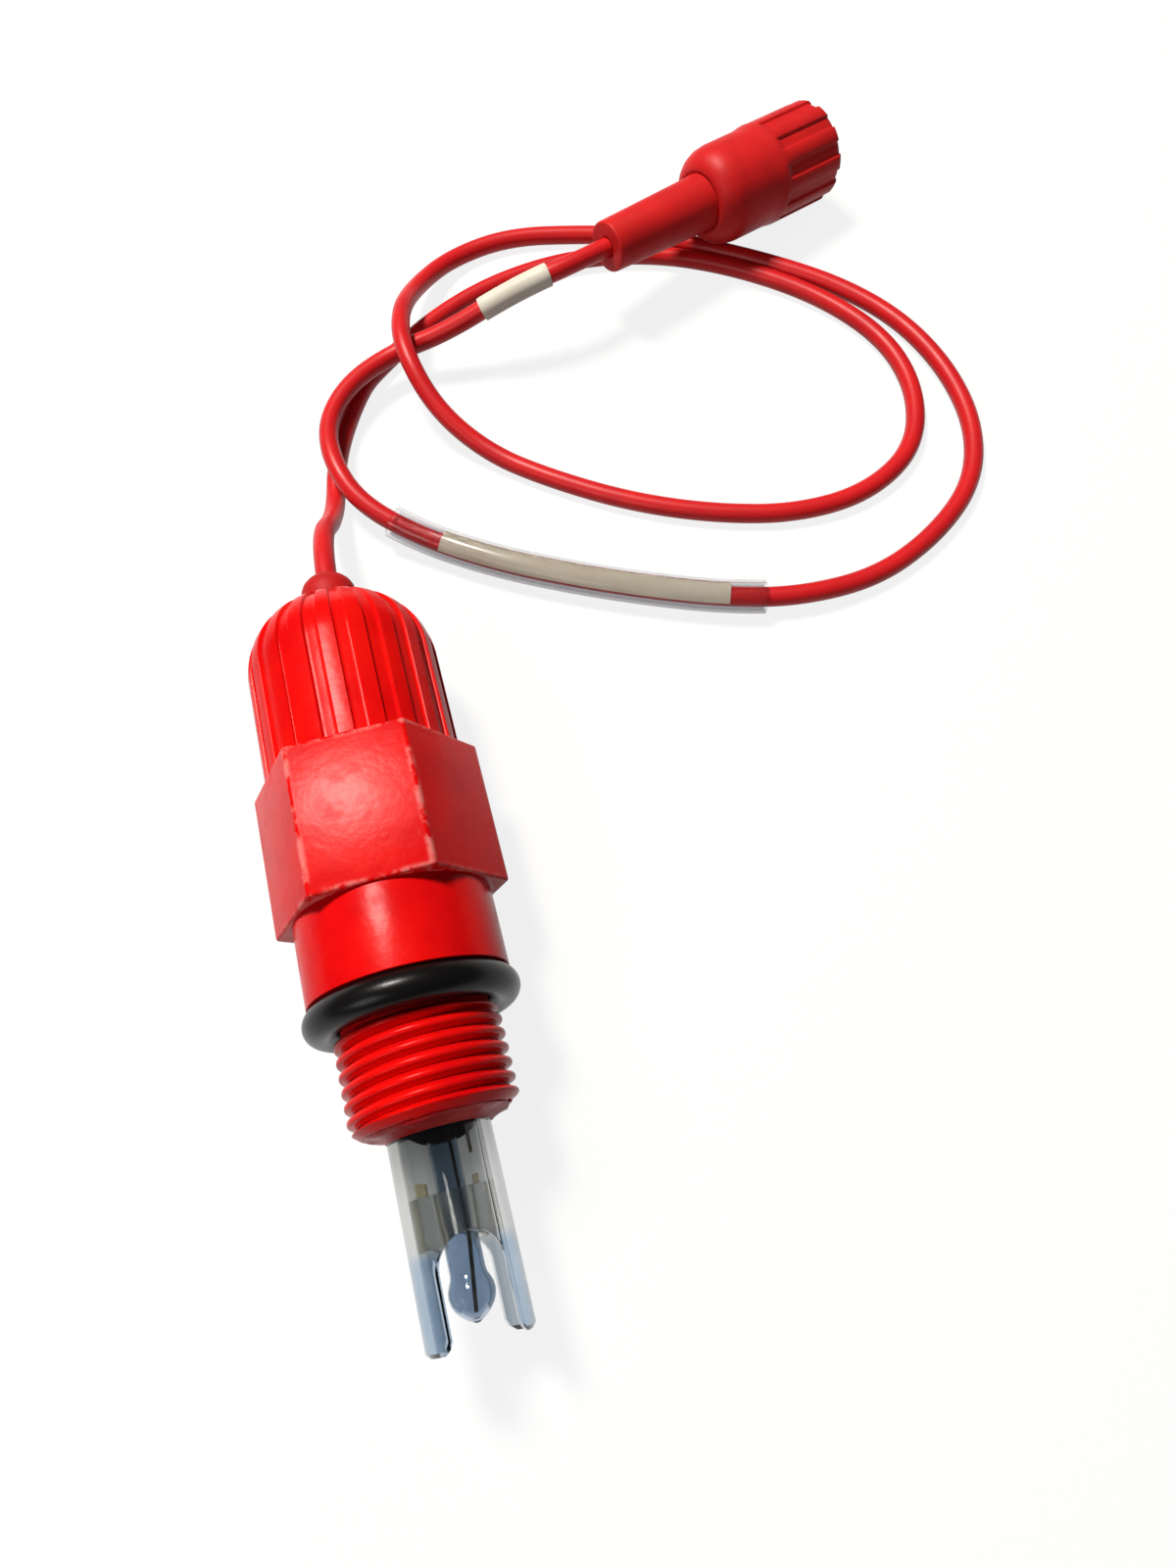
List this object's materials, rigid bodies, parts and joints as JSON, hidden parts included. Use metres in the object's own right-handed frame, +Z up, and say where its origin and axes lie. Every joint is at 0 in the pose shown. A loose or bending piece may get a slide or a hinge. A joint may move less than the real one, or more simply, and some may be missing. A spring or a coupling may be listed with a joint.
{
  "type": "ph electrode",
  "caption": "Probe with threaded plastic body, fluted domed cap, forked clear shaft round a glass bulb, and a coiled lead ending in a bayonet plug.",
  "frame": {"origin": "on the table plane, below the middle of the probe's length; the probe lies on its nose ring", "axes": "+Z up from the table, +Y along the probe from the bulb towards the cable, +X to the right seen from behind the bulb"},
  "size_m": [0.129, 0.1851, 0.0276],
  "materials": {
    "body_red": "moulded, glossy",
    "cap_red": "moulded, glossy",
    "grommet_red": "soft, matte",
    "ring_black": "soft sheen",
    "glue_red": "cured bead",
    "clear_tube": "clear plastic tube",
    "holder_grey": "smooth",
    "bulb_glass": "thin glass",
    "wire_silver": "drawn wire, coated",
    "junction_cream": "porous",
    "stopper_black": "matte",
    "core_white": "smooth",
    "screen_black": "matte",
    "clamp_metal": "pressed",
    "cable_red": "extruded jacket, semi-gloss",
    "marker_ivory": "smooth sleeve",
    "label_clear": "clear soft sleeve",
    "label_card": "card",
    "plug_coral": "soft-touch moulding",
    "plug_nickel": "nickel plate",
    "pin_brass": "gold-coloured plate",
    "gasket_grey": "soft",
    "spring_steel": "spring wire"
  },
  "bodies": {
    "probe_and_lead": {"probe_body": "body_red", "fluted_cap": "cap_red", "cable_grommet": "grommet_red", "body_o_ring": "ring_black", "glue_bead": "glue_red", "shaft_tube": "clear_tube", "end_plug": "holder_grey", "glass_bulb": "bulb_glass", "measuring_wire": "wire_silver", "reference_wire": "wire_silver", "junction_rod_left": "junction_cream", "junction_rod_right": "junction_cream", "tube_stopper": "stopper_black", "core_lead": "core_white", "screen_lead": "screen_black", "cable_clamp": "clamp_metal", "lead_tail": "cable_red", "lead_cable": "cable_red", "marker_sleeve": "marker_ivory", "label_sleeve": "label_clear", "label_insert": "label_card", "plug_boot": "plug_coral", "plug_cable_end": "cable_red", "plug_core": "core_white", "crimp_ferrule": "plug_nickel", "plug_body": "plug_nickel", "dielectric": "core_white", "centre_pin": "pin_brass", "contact_sleeve": "plug_nickel", "face_gasket": "gasket_grey", "wave_washer": "spring_steel"},
    "washer": {"thrust_washer": "plug_nickel"},
    "coupling": {"rear_retainer": "plug_nickel", "bayonet_ring": "plug_nickel", "coupling_shell": "plug_coral"}
  },
  "joints": [
    {"name": "coupling_pull", "type": "slide", "parent": "probe_and_lead", "child": "washer", "axis": [0.9119, 0.3946, -0.1132], "range_m": [0, 0.0008], "stiffness_N_per_m": 4000, "springref_m": -0.0006, "deforming": ["wave_washer"]},
    {"name": "coupling_turn", "type": "hinge", "parent": "washer", "child": "coupling", "pos_m": [0.09497, 0.12168, 0.00947], "axis": [0.9119, 0.3946, -0.1132], "continuous": true}
  ]
}
